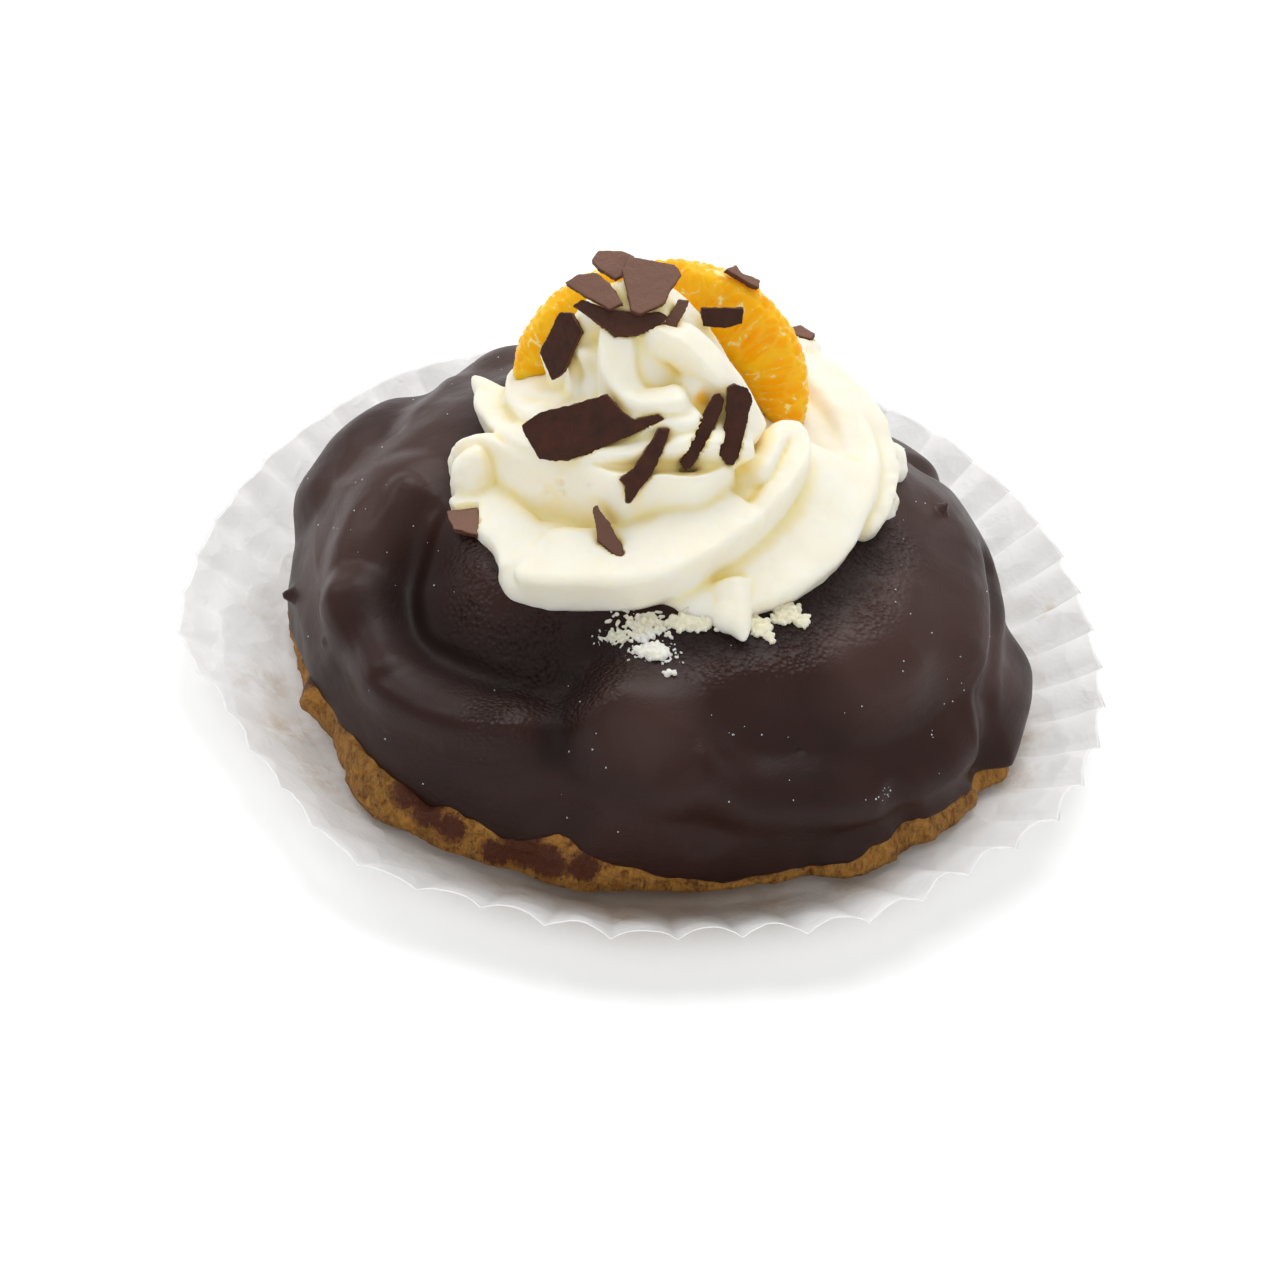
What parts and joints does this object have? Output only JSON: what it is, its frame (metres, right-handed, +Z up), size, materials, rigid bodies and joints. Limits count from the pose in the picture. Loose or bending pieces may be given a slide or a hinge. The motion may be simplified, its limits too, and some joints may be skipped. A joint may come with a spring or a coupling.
{
  "type": "bossche bol",
  "caption": "Round choux bun under poured chocolate glaze in a pleated paper case, topped with a whipped cream whirl, mandarin segments and chocolate shards.",
  "frame": {"origin": "middle of the underside of the paper case's flat floor, on the surface that it stands on", "axes": "+Z up; -Y towards the side that the picture shows; +X to the right seen from there"},
  "size_m": [0.1507, 0.1504, 0.074],
  "materials": {
    "paper": "matte",
    "crust": "matte",
    "glaze": "satin",
    "cream": "satin",
    "mandarin": "gloss",
    "shard": "satin"
  },
  "bodies": {
    "root": {"paper_case": "paper", "choux_bun": "crust", "chocolate_glaze": "glaze", "whipped_cream": "cream", "mandarin_right": "mandarin", "mandarin_left": "mandarin", "shard_top_left": "shard", "shard_top_front": "shard", "shard_top": "shard", "shard_under_top": "shard", "shard_left": "shard", "shard_large": "shard", "shard_front": "shard", "shard_rod": "shard", "shard_right": "shard", "shard_pointed": "shard", "shard_on_glaze": "shard", "shard_on_mandarin": "shard", "shard_small": "shard", "shard_behind": "shard", "shard_right_rear": "shard", "shard_rear": "shard", "shard_rear_left": "shard"}
  },
  "joints": []
}
